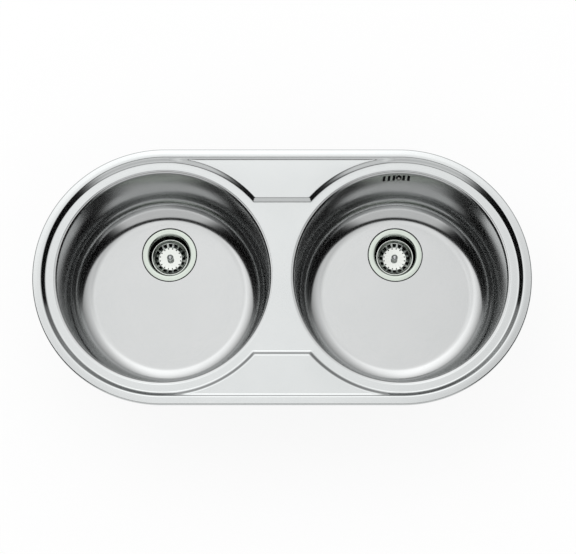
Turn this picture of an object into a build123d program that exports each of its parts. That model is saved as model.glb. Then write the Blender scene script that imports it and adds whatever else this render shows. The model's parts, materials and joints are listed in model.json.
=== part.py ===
"""Double round bowl inset kitchen sink with basket strainer wastes and clip fixings.

Millimetres, +Z up. The origin is the middle of the sink in the plane of the worktop that
the sink hangs in: +X runs along the sink to the right bowl, +Y towards the wall behind.
"""
from build123d import *
import math
import os

# ---------------------------------------------------------------- driving dimensions
# Plan of the top
end_radius = 220.0          # outside radius of each rounded end, half the sink's depth
web_width = 32.0            # between the two bowl mouths
sheet = 0.9                 # stainless sheet

# Rim, ring band round the bowls and the two raised tap ledges
rim_height = 6.0            # crown of the rim above the worktop
rim_width = 14.5            # outer edge to where the rim starts to fall inwards
rim_round = 5.0             # rolled outer edge of the rim
rim_inner_round = 3.0       # soft top and foot of the fall inside the rim
skirt_gap = 0.3             # worktop to the rim's turned-down edge
step_drop = 7.0             # rim crown down to the ring band
step_width = 7.0            # plan width of that fall
ledge_drop = 2.5            # rim crown down to the tap ledge
ledge_slope = 6.0           # plan width of the fall from a ledge to the band
ledge_round = 3.5           # soft top and foot of that fall
ledge_ease = 0.3            # ledge foot outside the ring band's edge
lead_out_angle = 4.0        # degrees, so that a ledge's soft edge runs out on its top
web_half_length = 129.0     # foot of a ledge, in front of and behind the middle web

# Bowls
band_width = 14.5           # bowl mouth to the fall inside the rim
roll_radius = 5.0           # rolled mouth of a bowl
bowl_depth = 160.0          # ring band to floor
wall_draft = 4.0            # degrees
floor_fillet = 42.0         # wall to floor, inside
bowl_lap = 7.0              # bowl flange welded under the ring band
drain_offset = 74.0         # drain behind the bowl centre

# Strainer waste
flange_radius = 47.0
flange_sheet = 1.0
flange_recess = 2.6         # depth of the seat pressed in the bowl floor
recess_clearance = 0.8      # round the flange
recess_flare = 1.0          # the seat's wall leans out by this much
well_radius = 36.5          # inside of the strainer well
well_roll = 3.0             # flange to well
well_depth = 37.0
well_corner = 6.0
outlet_seat_radius = 19.0
outlet_depth = 8.0          # collar under the well that holds the cross
cross_arm = 4.0
cross_thick = 2.5
cross_arms = 4
gasket_thick = 1.0          # under the strainer flange
lower_gasket_thick = 2.5    # between bowl and waste body
gasket_width = 6.0

# Basket
basket_rim_radius = 33.0
basket_rim_width = 2.2
basket_rim_round = 0.9
basket_rim_below = 18.5     # bowl floor down to the basket's rim
basket_throat_radius = 28.0
basket_slot_top_below = 25.0
basket_floor_radius = 20.3
basket_floor_below = 31.0
basket_sheet = 0.8
basket_slots = 16
basket_rib_width = 3.2      # between two slots
basket_slot_land = 1.0      # slot end to the basket's floor and to its throat
basket_hole_radius = 1.2
basket_hole_circle = 18.6
knob_radius = 6.0
knob_neck_radius = 2.6
knob_height = 15.0          # basket floor to the top of the knob
stem_radius = 3.2
seal_radius = 22.0
seal_thick = 3.0
seal_round = 1.0
plug_clearance = 0.3        # plug above the well floor

# Waste body
waste_wall = 3.0
waste_flange_radius = 50.0
waste_flange_thick = 4.0
waste_bore_radius = 41.0
waste_cup_depth = 42.0      # flange to the foot of the straight cup
waste_cone_height = 14.0
outlet_radius = 23.9        # outside of a G 1 1/2 thread
outlet_bore_radius = 20.0
outlet_length = 25.0
boss_radius = 7.0
boss_height = 12.0
boss_drop = 3.0             # boss below the strainer's collar
boss_arms = 3
screw_radius = 3.0
screw_head_radius = 5.5
screw_head_height = 3.2
screw_head_round = 1.0
screw_slot_width = 1.2
screw_clearance = 0.25

# Overflow
overflow_slots_each_side = 3
overflow_pitch = 8.4
overflow_slot_width = 3.9
overflow_slot_height = 27.0
overflow_top_below = 10.5   # ring band to the top of the slots
overflow_screw_radius = 1.7
overflow_head_radius = 5.0
overflow_head_height = 3.6
overflow_head_round = 2.2
overflow_boss_radius = 4.0
overflow_gasket_thick = 1.5
overflow_margin = 3.5       # housing round the slots
overflow_round = 6.0
overflow_wall_thick = 2.0
overflow_stand = 13.5       # hose axis behind the bowl's inside wall
overflow_gasket_land = 3.0
hose_radius = 10.0          # over the ribs
hose_valley_radius = 8.8
hose_bore_radius = 7.2
hose_rib_pitch = 4.0
hose_end = 20.0             # plain cuff at each end
spigot_radius = 10.6
spigot_length = 14.0
nut_radius = 13.0
nut_length = 16.0
nut_overlap = 8.0
nut_clearance = 0.2
nut_grips = 12
nut_grip_radius = 0.9
inlet_below = 17.0          # underside of the waste flange to the inlet's axis
inlet_reach = 54.0          # waste axis to the inlet's end

# Rim seal
seal_inset = 6.5            # outer edge of the foam strip from the sink's edge
seal_width = 5.0

# Sound pads
pad_radius = 108.0
pad_thick = 3.0
pad_hole_clearance = 6.0

# Fixing clips
clip_inset = 24.0           # sink edge to a clip screw
side_clip_x = 62.0
end_clip_angle = 40.0       # degrees from the long axis
bracket_length = 22.0
bracket_sheet = 1.5
bracket_tab = 6.5
bracket_drop = 16.0         # lug below the worktop plane
clip_screw_radius = 2.5
clip_screw_head_radius = 5.0
clip_screw_head_height = 3.5
clip_screw_above = 4.0      # screw end above the lug
claw_below = 41.0           # worktop plane down to the claw's arm
claw_thick = 2.0
claw_width = 12.0
claw_reach = 23.0
claw_rise = 8.0             # turned-up tip
claw_teeth = 3
claw_tooth_depth = 2.0
claw_fit = 0.08             # radial running clearance on the screw
claw_play = 0.3             # between the claw and its screw head

# ---------------------------------------------------------------- derived values
crown_radius = end_radius - rim_width
band_radius = crown_radius - step_width
mouth_radius = band_radius - band_width
bowl_spacing = 2 * mouth_radius + web_width
band_level = rim_height - step_drop
ledge_level = rim_height - ledge_drop
bowl_top = band_level - sheet
floor_level = band_level - bowl_depth
recess_level = floor_level - flange_recess
recess_underside = recess_level - sheet
recess_radius = flange_radius + recess_clearance
waste_top = recess_underside - lower_gasket_thick
cup_floor = waste_top - waste_flange_thick - waste_cup_depth
cone_floor = cup_floor - waste_cone_height
outlet_end = cone_floor - outlet_length
well_floor = floor_level - well_depth
screw_hole_radius = screw_radius + screw_clearance
inlet_level = waste_top - waste_flange_thick - inlet_below
flange_top = recess_level + gasket_thick + flange_sheet
collar_end = well_floor - flange_sheet - outlet_depth
plug_level = well_floor + plug_clearance
overflow_level = band_level - overflow_top_below - overflow_slot_height / 2
overflow_width = (2 * overflow_slots_each_side * overflow_pitch + overflow_slot_width
                  + 2 * overflow_margin)
overflow_height = overflow_slot_height + 2 * overflow_margin
overflow_axis = mouth_radius - roll_radius + overflow_stand
overflow_back = overflow_axis + spigot_radius
spigot_end = overflow_level - overflow_height / 2 - spigot_length
hose_bend = overflow_axis - drain_offset - inlet_reach - hose_end
hose_drop = spigot_end - inlet_level - hose_bend
bowl_places = {"left": -bowl_spacing / 2, "right": bowl_spacing / 2}
foot_sink = 0.03            # a ledge's soft foot starts this far inside the band
cut_margin = 4.0            # how far a cutting tool stands past what it cuts


def ring(outer, inner, low, high):
    """A flat ring about Z from low to high."""
    base = (Align.CENTER, Align.CENTER, Align.MIN)
    body = Cylinder(outer, high - low, align=base)
    hole = Pos(0, 0, -cut_margin) * Cylinder(inner, high - low + 2 * cut_margin, align=base)
    return Pos(0, 0, low) * (body - hole)


def disc(radius, low, high):
    """A solid cylinder about Z from low to high."""
    base = (Align.CENTER, Align.CENTER, Align.MIN)
    return Pos(0, 0, low) * Cylinder(radius, high - low, align=base)


def frustum(low_radius, high_radius, low, high):
    """A cone stump about Z from low to high."""
    base = (Align.CENTER, Align.CENTER, Align.MIN)
    return Pos(0, 0, low) * Cone(low_radius, high_radius, high - low, align=base)


def stadium(radius, level=0.0):
    """The sink's plan outline at a given end radius."""
    return Pos(0, 0, level) * SlotCenterToCenter(bowl_spacing, 2 * radius)


def stadium_prism(radius, low, high):
    """The plan outline as a straight block."""
    return extrude(stadium(radius, low), high - low)


# ---------------------------------------------------------------- pressed deck
def fall_points(foot, low, top, run):
    """Half profile of a fall seen from the low side: band, slope and a nearly level lead-out."""
    lead_out = 2 * ledge_slope
    return [(foot, low), (foot + run, top),
            (foot + run + lead_out, top + lead_out * math.tan(math.radians(lead_out_angle)))]


def ledge_cutters(skin, low, top):
    """What is pressed down between the ledges: the web, then a round field for each bowl."""
    grow = skin * math.tan(math.atan2(ledge_level - band_level, ledge_slope) / 2)
    high = top + cut_margin
    rounds = [ledge_round + skin, ledge_round - skin]
    field = fall_points(band_radius + ledge_ease + grow, low, top, ledge_slope)
    with BuildPart() as made:
        with BuildSketch(Plane.XZ):
            with BuildLine():
                FilletPolyline((0, low), *field, radius=rounds)
                Polyline(field[-1], (field[-1][0], high), (0, high), (0, low))
            make_face()
        revolve(axis=Axis.Z)
    web = fall_points(web_half_length + grow, low, top, ledge_slope)
    back = [(-y, z) for y, z in reversed(web)]
    with BuildPart() as cutter:
        with BuildSketch(Plane.YZ.offset(-bowl_spacing / 2)):
            with BuildLine():
                FilletPolyline(*back, *web, radius=rounds[::-1] + rounds)
                Polyline(web[-1], (web[-1][0], high), (back[0][0], high), back[0])
            make_face()
        extrude(amount=bowl_spacing)
    return [cutter.part] + [Pos(x, 0, 0) * made.part for x in bowl_places.values()]


def deck_form(skin):
    """The deck's block form, its surface lying skin below the visible one."""
    bottom = band_level - 2 * cut_margin
    block = stadium_prism(end_radius - skin, bottom, rim_height - skin)
    block = fillet(block.edges().group_by(Axis.Z)[-1], rim_round - skin)

    lean = step_width / step_drop
    grow = skin * math.tan(math.atan2(step_drop, step_width) / 2)
    low = band_level - skin
    high = rim_height - skin + cut_margin
    dish = loft([stadium(band_radius + grow, low),
                 stadium(band_radius + grow + (high - low) * lean, high)], ruled=True)
    block -= fillet(dish.edges().group_by(Axis.Z)[0], rim_inner_round + skin)
    inner_edge = [e for e in block.edges().group_by(Axis.Z)[-1]
                  if e.bounding_box().max.Y < end_radius - rim_round - skin]
    block = fillet(inner_edge, rim_inner_round - skin)

    top = ledge_level - skin
    plateau = Pos(0, 0, bottom) * Box(bowl_spacing, crown_radius + band_radius, top - bottom,
                                      align=(Align.CENTER, Align.CENTER, Align.MIN))
    for cutter in ledge_cutters(skin, low - foot_sink, top):
        plateau -= cutter
    return block + plateau


def make_deck():
    """One pressed sheet: rolled rim, step, two tap ledges, web and two bowl mouths."""
    deck = deck_form(0.0) - deck_form(sheet)
    edge_cut = stadium_prism(end_radius + cut_margin, band_level - 3 * cut_margin, skirt_gap)
    edge_cut -= stadium_prism(end_radius - rim_round, band_level - 4 * cut_margin, rim_height)
    deck -= edge_cut
    for x in bowl_places.values():
        deck -= Pos(x, 0, 0) * disc(mouth_radius, band_level - cut_margin, rim_height)
    return deck


# ---------------------------------------------------------------- drawn bowls and wells
def polar(centre, radius, degrees):
    """A point round a centre in the half-profile plane."""
    turn = math.radians(degrees)
    return (centre[0] + radius * math.cos(turn), centre[1] + radius * math.sin(turn))


def dish_form(mouth, top, roll, floor, corner, draft, skin=0.0, flange=None):
    """A drawn dish's block form about Z, its surface lying skin outside the visible one.

    mouth is where the rolled edge starts, roll its radius, corner the wall-to-floor fillet.
    """
    roll_centre = (mouth, top - roll)
    wall_top = polar(roll_centre, roll, 180 - draft)
    lean = math.radians(draft)
    run = (wall_top[1] + corner * math.sin(lean) - floor - corner) / math.cos(lean)
    corner_centre = (wall_top[0] - run * math.sin(lean) - corner * math.cos(lean),
                     floor + corner)
    under = top - skin
    rim = [(0, top), (mouth, top)]
    if flange:
        rim = [(0, top), (flange, top), (flange, under)]
    with BuildPart() as made:
        with BuildSketch(Plane.XZ):
            with BuildLine():
                Polyline((0, floor - skin), *rim)
                if skin:
                    Line(rim[-1], (mouth, under))
                ThreePointArc((mouth, under), polar(roll_centre, roll - skin, 135 - draft / 2),
                              polar(roll_centre, roll - skin, 180 - draft))
                Line(polar(roll_centre, roll - skin, 180 - draft),
                     polar(corner_centre, corner + skin, -draft))
                ThreePointArc(polar(corner_centre, corner + skin, -draft),
                              polar(corner_centre, corner + skin, -45 - draft / 2),
                              polar(corner_centre, corner + skin, -90))
                Line(polar(corner_centre, corner + skin, -90), (0, floor - skin))
            make_face()
        revolve(axis=Axis.Z)
    return made.part


def bowl_form(skin=0.0, flange=None):
    """One bowl's inside, or its outside at a given skin, about its own centre."""
    return dish_form(mouth_radius, bowl_top, roll_radius, floor_level, floor_fillet,
                     wall_draft, skin, flange)


def wall_radius(level):
    """Inside radius of a bowl's straight wall at a height."""
    wall_top = polar((mouth_radius, bowl_top - roll_radius), roll_radius, 180 - wall_draft)
    return wall_top[0] - (wall_top[1] - level) * math.tan(math.radians(wall_draft))


def make_bowl():
    """A bowl shell with its welding flange and the recess for the strainer flange."""
    recess_lean = recess_flare / flange_recess
    seat_rise = flange_recess + recess_flare
    seat = frustum(recess_radius, recess_radius + seat_rise * recess_lean,
                   recess_level, recess_level + seat_rise)
    cup = frustum(recess_radius + sheet, recess_radius + sheet + flange_recess * recess_lean,
                  recess_underside, floor_level - sheet / 2)
    to_drain = Pos(0, drain_offset, 0)
    shell = bowl_form(sheet, mouth_radius + bowl_lap) + to_drain * cup
    shell -= bowl_form() + to_drain * seat
    hole = disc(well_radius + flange_sheet + recess_clearance, recess_underside - cut_margin,
                floor_level)
    return shell - to_drain * hole


# ---------------------------------------------------------------- strainer waste
def well_form(skin=0.0, flange=None):
    """The strainer well, about the drain axis."""
    return dish_form(well_radius + well_roll, flange_top, well_roll, well_floor, well_corner,
                     0.0, skin, flange)


def spokes(count, reach, width, low, high):
    """Arms from the axis out to a reach, evenly spaced."""
    arm = Pos(reach / 2, 0, low) * Box(reach, width, high - low,
                                       align=(Align.CENTER, Align.CENTER, Align.MIN))
    made = arm
    for turn in range(1, count):
        made += Rot(0, 0, 360 / count * turn) * arm
    return made


def make_strainer_body():
    """Flange, drawn well and outlet collar."""
    body = well_form(flange_sheet, flange_radius) - well_form()
    collar = ring(outlet_seat_radius + flange_sheet, outlet_seat_radius,
                  collar_end, well_floor - flange_sheet / 2)
    body -= disc(outlet_seat_radius, well_floor - cut_margin, well_floor + cut_margin)
    return body + collar


def make_strainer_cross():
    """The cross welded in the collar, which the centre screw's head sits on."""
    top = collar_end + cross_thick
    cross = spokes(cross_arms, outlet_seat_radius + cut_margin, cross_arm, collar_end, top)
    cross += disc(screw_head_radius + cross_arm / 2, collar_end, top)
    cross -= disc(screw_hole_radius, collar_end - cut_margin, well_floor)
    return cross & disc(outlet_seat_radius, collar_end, top)


def make_flange_gasket():
    """The soft ring between the strainer flange and the bowl floor."""
    return ring(flange_radius, flange_radius - gasket_width, recess_level,
                recess_level + gasket_thick)


def make_lower_gasket():
    """The thick ring between the bowl's underside and the waste body."""
    return ring(waste_flange_radius, waste_flange_radius - gasket_width, waste_top,
                recess_underside)


def waste_form(skin):
    """The waste body's block form: skin 0 is the inside, waste_wall the outside."""
    cup = waste_bore_radius + skin
    bore = outlet_radius if skin else outlet_bore_radius
    with BuildPart() as made:
        with BuildSketch(Plane.XZ):
            with BuildLine():
                Polyline((0, waste_top), (cup, waste_top), (cup, cup_floor - skin),
                         (bore, cone_floor - skin), (bore, outlet_end), (0, outlet_end),
                         close=True)
            make_face()
        revolve(axis=Axis.Z)
    return made.part


def make_waste_body():
    """Moulded cup with a clamping flange, screw boss, outlet spigot and overflow inlet."""
    along_y = Rot(-90, 0, 0)
    outside = waste_form(waste_wall)
    inlet = Pos(0, 0, inlet_level) * along_y * disc(spigot_radius, 0, inlet_reach)
    shell = outside + inlet + ring(waste_flange_radius, waste_bore_radius,
                                   waste_top - waste_flange_thick, waste_top)
    shell -= waste_form(0.0)
    shell -= Pos(0, 0, inlet_level) * along_y * disc(hose_bore_radius, 0,
                                                     inlet_reach + cut_margin)
    boss_top = collar_end - boss_drop
    boss = disc(boss_radius, boss_top - boss_height, boss_top)
    web = spokes(boss_arms, waste_bore_radius, waste_wall, boss_top - boss_height, boss_top)
    boss += web & outside
    return shell + boss - disc(screw_radius, outlet_end, boss_top + cut_margin)


def make_centre_screw():
    """The screw that draws the strainer body and the waste body together."""
    seat = collar_end + cross_thick
    head = disc(screw_head_radius, seat, seat + screw_head_height)
    head = fillet(head.edges().group_by(Axis.Z)[-1], screw_head_round)
    slot = Pos(0, 0, seat + screw_head_height) * Box(2 * screw_head_radius, screw_slot_width,
                                                     screw_head_height)
    return head - slot + disc(screw_radius, collar_end - boss_drop - boss_height, seat)


# ---------------------------------------------------------------- lift-out basket
def make_basket():
    """Pressed basket: rolled rim, steep throat, sixteen slots and a ring of holes."""
    rim_level = floor_level - basket_rim_below
    slot_top = floor_level - basket_slot_top_below
    floor = floor_level - basket_floor_below
    inside_rim = basket_rim_radius - basket_rim_width

    def cup(skin):
        with BuildPart() as made:
            with BuildSketch(Plane.XZ):
                with BuildLine():
                    Polyline((0, rim_level), (inside_rim + skin, rim_level),
                             (basket_throat_radius + skin, slot_top - skin),
                             (basket_floor_radius + skin / 2, floor - skin),
                             (0, floor - skin), close=True)
                make_face()
            revolve(axis=Axis.Z)
        return made.part

    lip = ring(basket_rim_radius, inside_rim, rim_level - basket_rim_width, rim_level)
    lip = fillet(lip.edges().group_by(Axis.Z)[-1], basket_rim_round)
    basket = cup(basket_sheet) + lip - cup(0.0)
    low, high = floor - cut_margin, slot_top + cut_margin
    slots = ring(basket_throat_radius - basket_slot_land, basket_floor_radius + basket_slot_land,
                 low, high)
    half_pitch = 180 / basket_slots
    ribs = spokes(basket_slots, basket_throat_radius, basket_rib_width, low, high)
    slots -= Rot(0, 0, half_pitch) * ribs
    basket -= slots
    hole = Pos(basket_hole_circle, 0, 0) * disc(basket_hole_radius, low, high)
    for number in range(basket_slots):
        basket -= Rot(0, 0, half_pitch * (2 * number + 1)) * hole
    return basket - disc(stem_radius, low, high)


def make_basket_knob():
    """Ball knob on a neck, with the stem that carries the rubber plug."""
    floor = floor_level - basket_floor_below
    ball = Pos(0, 0, floor + knob_height - knob_radius) * Sphere(knob_radius)
    neck = disc(knob_neck_radius, floor, floor + knob_height - knob_radius)
    foot = disc(knob_neck_radius + 2 * basket_sheet, floor, floor + basket_sheet)
    stem = disc(stem_radius, plug_level, floor)
    return ball + neck + foot + stem


def make_basket_seal():
    """The rubber plug that shuts the outlet when the basket is down."""
    seal = disc(seal_radius, plug_level, plug_level + seal_thick)
    seal = fillet(seal.edges().group_by(Axis.Z)[-1], seal_round)
    return seal - disc(stem_radius, plug_level - cut_margin, plug_level + 2 * cut_margin)


# ---------------------------------------------------------------- overflow
def overflow_wall(skin):
    """The right bowl's outside at a given skin, without its flange."""
    return Pos(bowl_places["right"], 0, 0) * bowl_form(skin)


def overflow_panel(inset, back):
    """A rounded block behind the slots, from inside the bowl out to back."""
    width = overflow_width - 2 * inset
    height = overflow_height - 2 * inset
    front = mouth_radius - 2 * roll_radius
    block = Pos(bowl_places["right"], front, overflow_level) * Box(
        width, back - front, height, align=(Align.CENTER, Align.MIN, Align.CENTER))
    return fillet(block.edges().filter_by(Axis.Y), overflow_round - inset)


def cut_overflow(bowl):
    """Cut the overflow slots and the screw hole in the back wall of the right bowl."""
    depth = 2 * roll_radius
    tool = Pos(0, mouth_radius, overflow_level) * extrude(
        Plane.XZ * Rot(0, 0, 90) * SlotOverall(overflow_slot_height, overflow_slot_width),
        depth, both=True)
    for number in range(1, overflow_slots_each_side + 1):
        for side in (-1, 1):
            bowl -= Pos(side * number * overflow_pitch, 0, 0) * tool
    hole = Pos(0, mouth_radius - depth, overflow_level) * Rot(-90, 0, 0) * disc(
        overflow_screw_radius + screw_clearance, 0, 2 * depth)
    return bowl - hole


def make_overflow_gasket():
    """A soft frame between the bowl wall and the overflow housing, curved like the wall."""
    layer = overflow_wall(sheet + overflow_gasket_thick) - overflow_wall(sheet)
    frame = overflow_panel(0.0, overflow_back) - overflow_panel(overflow_gasket_land,
                                                                overflow_back + cut_margin)
    return layer & frame


def make_overflow_elbow():
    """Moulded overflow housing: hollow box, screw boss and a spigot that points down."""
    x = bowl_places["right"]
    housing = overflow_panel(0.0, overflow_back)
    spigot_top = overflow_level - overflow_height / 2
    axis = Pos(x, overflow_axis, 0)
    housing += axis * disc(spigot_radius, spigot_end, spigot_top + overflow_wall_thick)
    hollow = overflow_panel(overflow_wall_thick, overflow_back - overflow_wall_thick)
    hollow += axis * disc(hose_bore_radius, spigot_end - cut_margin,
                          spigot_top + 2 * overflow_wall_thick)
    along_y = Pos(x, 0, overflow_level) * Rot(-90, 0, 0)
    boss = along_y * disc(overflow_boss_radius, mouth_radius - 2 * roll_radius,
                          overflow_back)
    housing = housing - hollow + boss
    housing -= overflow_wall(sheet + overflow_gasket_thick)
    return housing - along_y * disc(overflow_screw_radius, 0,
                                    overflow_back - overflow_wall_thick)


def make_overflow_screw():
    """Domed screw that clamps the overflow housing from inside the bowl."""
    wall = wall_radius(overflow_level)
    along_y = Pos(bowl_places["right"], 0, overflow_level) * Rot(-90, 0, 0)
    head = disc(overflow_head_radius, -overflow_head_height, roll_radius / 2)
    head = fillet(head.edges().group_by(Axis.Z)[0], overflow_head_round)
    slot = Pos(0, 0, -overflow_head_height) * Box(2 * overflow_head_radius, screw_slot_width,
                                                  overflow_head_height / 2)
    head = along_y * Pos(0, 0, wall) * (head - slot)
    head &= overflow_wall(0.0)
    shaft = along_y * disc(overflow_screw_radius, wall - overflow_head_height / 2,
                           overflow_back - 2 * overflow_wall_thick)
    return head + shaft


def hose_length():
    """Length of the hose's centre line."""
    return hose_drop + hose_bend * math.pi / 2 + hose_end


def hose_plane(distance):
    """The plane square to the hose at a distance from its upper end."""
    x = bowl_places["right"]
    across = (1, 0, 0)
    arc = hose_bend * math.pi / 2
    if distance <= hose_drop:
        return Plane((x, overflow_axis, spigot_end - distance), across, (0, 0, -1))
    if distance <= hose_drop + arc:
        turn = (distance - hose_drop) / hose_bend
        y = overflow_axis - hose_bend * (1 - math.cos(turn))
        z = spigot_end - hose_drop - hose_bend * math.sin(turn)
        return Plane((x, y, z), across, (0, -math.sin(turn), -math.cos(turn)))
    y = overflow_axis - hose_bend - (distance - hose_drop - arc)
    return Plane((x, y, inlet_level), across, (0, -1, 0))


def make_overflow_hose():
    """Ribbed hose from the overflow housing down and under the bowl to the waste inlet."""
    ribbed = hose_length() - 2 * hose_end
    ribs = int(ribbed / hose_rib_pitch)
    pitch = ribbed / ribs
    rings = [(0.0, hose_radius), (hose_end - pitch / 4, hose_radius)]
    for number in range(ribs):
        start = hose_end + number * pitch
        rings += [(start, hose_valley_radius), (start + pitch / 4, hose_valley_radius),
                  (start + pitch / 2, hose_radius), (start + 3 * pitch / 4, hose_radius)]
    rings += [(hose_length() - hose_end, hose_valley_radius),
              (hose_length() - hose_end + pitch / 4, hose_radius),
              (hose_length(), hose_radius)]
    outside = loft([hose_plane(along) * Circle(radius) for along, radius in rings], ruled=True)
    start, middle, end = (hose_plane(0), hose_plane(hose_drop),
                          hose_plane(hose_drop + hose_bend * math.pi / 2))
    with BuildLine() as route:
        Line(start.origin, middle.origin)
        TangentArc(middle.origin, end.origin, tangent=middle.z_dir)
        Line(end.origin, hose_plane(hose_length()).origin)
    bore = sweep(start * Circle(hose_bore_radius), path=route.wire())
    return outside - bore


def make_hose_nut():
    """A ribbed union nut along +Z, the spigot in its first half and the hose beyond."""
    nut = disc(nut_radius, 0, nut_length)
    for number in range(nut_grips):
        nut += Rot(0, 0, 360 / nut_grips * number) * Pos(nut_radius, 0, 0) * disc(
            nut_grip_radius, 0, nut_length)
    nut -= disc(spigot_radius + nut_clearance, -cut_margin, nut_overlap)
    return nut - disc(hose_radius + nut_clearance, 0, nut_length + cut_margin)


def make_inlet_cap():
    """A blank cap for the inlet that no overflow is joined to."""
    end = nut_overlap + waste_wall
    cap = disc(nut_radius, 0, end)
    for number in range(nut_grips):
        cap += Rot(0, 0, 360 / nut_grips * number) * Pos(nut_radius, 0, 0) * disc(
            nut_grip_radius, 0, end)
    return cap - disc(spigot_radius + nut_clearance, -cut_margin, nut_overlap)


# ---------------------------------------------------------------- seal, pads and clips
def make_rim_seal():
    """Foam strip under the rim all the way round."""
    outer = end_radius - seal_inset
    strip = stadium_prism(outer, 0.0, rim_height - sheet)
    return strip - stadium_prism(outer - seal_width, -cut_margin, rim_height)


def make_sound_pad():
    """A deadening pad stuck under a bowl's floor, cut back round the waste."""
    top = floor_level - sheet
    clear = recess_radius + recess_flare + sheet + pad_hole_clearance
    return disc(pad_radius, top - pad_thick, top) - Pos(0, drain_offset, 0) * disc(
        clear, top - 2 * pad_thick, top + pad_thick)


def clip_places():
    """Position, outward heading in degrees and underside level of each clip's seat."""
    screw_radius_out = end_radius - clip_inset
    places = []
    for side, x in bowl_places.items():
        for front_back in (-1, 1):
            heading = front_back * end_clip_angle
            if side == "left":
                heading = 180 - heading
            turn = math.radians(heading)
            places.append((x + screw_radius_out * math.cos(turn),
                           screw_radius_out * math.sin(turn), heading, bowl_top))
    for x in (-side_clip_x, side_clip_x):
        for front_back in (-1, 1):
            places.append((x, front_back * screw_radius_out, front_back * 90,
                           ledge_level - sheet))
    return places


def make_clip_bracket(seat):
    """Z-bent bracket about its screw axis, +X outwards, welded under the deck at seat."""
    web_x = mouth_radius + bowl_lap + nut_clearance - (end_radius - clip_inset)
    lug_end = clip_screw_head_radius
    low = -bracket_drop
    tab = (bracket_tab, seat - bracket_sheet, seat)
    lug = (lug_end - web_x, low, low + bracket_sheet)
    made = Pos(web_x, 0, low) * Box(bracket_sheet, bracket_length, seat - low,
                                    align=(Align.MIN, Align.CENTER, Align.MIN))
    for reach, bottom, top in (tab, lug):
        made += Pos(web_x, 0, bottom) * Box(reach, bracket_length, top - bottom,
                                            align=(Align.MIN, Align.CENTER, Align.MIN))
    return made - disc(clip_screw_radius, low - cut_margin, low + 2 * bracket_sheet)


def make_clip_screw():
    """Slotted screw that hangs from a bracket's lug and carries the claw."""
    top = -bracket_drop + bracket_sheet + clip_screw_above
    head_top = -claw_below - claw_thick - claw_play
    head = disc(clip_screw_head_radius, head_top - clip_screw_head_height, head_top)
    slot = Pos(0, 0, head_top - clip_screw_head_height) * Box(
        2 * clip_screw_head_radius, screw_slot_width, clip_screw_head_height)
    return head - slot + disc(clip_screw_radius, head_top, top)


def make_claw():
    """Bent claw about its screw axis, turned in: it lies along -Y and swings out to +X."""
    low = -claw_below - claw_thick
    root = disc(claw_width / 2, low, low + claw_thick)
    arm = Pos(0, 0, low) * Box(claw_width, claw_reach, claw_thick,
                               align=(Align.CENTER, Align.MAX, Align.MIN))
    tip = Pos(0, -claw_reach, low) * Box(claw_width, claw_thick, claw_thick + claw_rise,
                                         align=(Align.CENTER, Align.MIN, Align.MIN))
    claw = root + arm + tip
    pitch = claw_width / claw_teeth
    notch = Pos(0, -claw_reach + claw_thick / 2, low + claw_thick + claw_rise) * Rot(
        0, 45, 0) * Box(claw_tooth_depth, 2 * claw_thick, claw_tooth_depth)
    for number in range(claw_teeth - 1):
        claw -= Pos((number + 1 - claw_teeth / 2) * pitch, 0, 0) * notch
    return claw - disc(clip_screw_radius + claw_fit, low - cut_margin, -claw_below + cut_margin)


# ---------------------------------------------------------------- the whole sink
def build():
    """Every node of the sink by name, in place."""
    nodes = {"deck": make_deck(), "rim_seal": make_rim_seal()}
    for side, x in bowl_places.items():
        bowl = make_bowl()
        if side == "right":
            bowl = cut_overflow(bowl)
        nodes[f"{side}_bowl"] = Pos(x, 0, 0) * bowl
        nodes[f"{side}_sound_pad"] = Pos(x, 0, 0) * make_sound_pad()
        drain = Pos(x, drain_offset, 0)
        for name, make in (("strainer_body", make_strainer_body),
                           ("strainer_cross", make_strainer_cross),
                           ("flange_gasket", make_flange_gasket),
                           ("lower_gasket", make_lower_gasket),
                           ("waste_body", make_waste_body),
                           ("centre_screw", make_centre_screw),
                           ("basket", make_basket),
                           ("basket_knob", make_basket_knob),
                           ("basket_seal", make_basket_seal)):
            nodes[f"{side}_{name}"] = drain * make()

    inlet_mouth = Pos(0, drain_offset + inlet_reach, inlet_level)
    nodes["left_inlet_cap"] = (Pos(bowl_places["left"], -nut_overlap, 0) * inlet_mouth
                               * Rot(-90, 0, 0) * make_inlet_cap())
    nodes["overflow_gasket"] = make_overflow_gasket()
    nodes["overflow_elbow"] = make_overflow_elbow()
    nodes["overflow_screw"] = make_overflow_screw()
    nodes["overflow_hose"] = make_overflow_hose()
    nodes["hose_upper_nut"] = (Pos(bowl_places["right"], overflow_axis, spigot_end + nut_overlap)
                               * Rot(180, 0, 0) * make_hose_nut())
    nodes["hose_lower_nut"] = (Pos(bowl_places["right"], -nut_overlap, 0) * inlet_mouth
                               * Rot(-90, 0, 0) * make_hose_nut())

    brackets, screws = [], []
    for number, (x, y, heading, seat) in enumerate(clip_places(), start=1):
        place = Pos(x, y, 0) * Rot(0, 0, heading)
        brackets.append(place * make_clip_bracket(seat))
        screws.append(place * make_clip_screw())
        nodes[f"clip_claw_{number}"] = place * make_claw()
    nodes["clip_brackets"] = Compound(children=brackets)
    nodes["clip_screws"] = Compound(children=screws)
    return nodes


os.makedirs("parts", exist_ok=True)
for node_name, shape in build().items():
    export_step(shape, f"parts/{node_name}.step")
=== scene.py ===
"""Dresses a double round bowl inset sink: fine meshes, finishes, camera, light and floor.

Sizes are millimetres in the dataclasses and metres in every mesh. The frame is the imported
model's: the origin is the middle of the sink in the worktop's plane, +X runs to the right
bowl, +Y towards the wall behind and +Z up.
"""
from __future__ import annotations

import json
import logging
import math
from dataclasses import dataclass, field
from enum import Enum
from functools import partial

import bmesh
import bpy
from mathutils import Matrix, Vector
from mathutils.geometry import delaunay_2d_cdt

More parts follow.
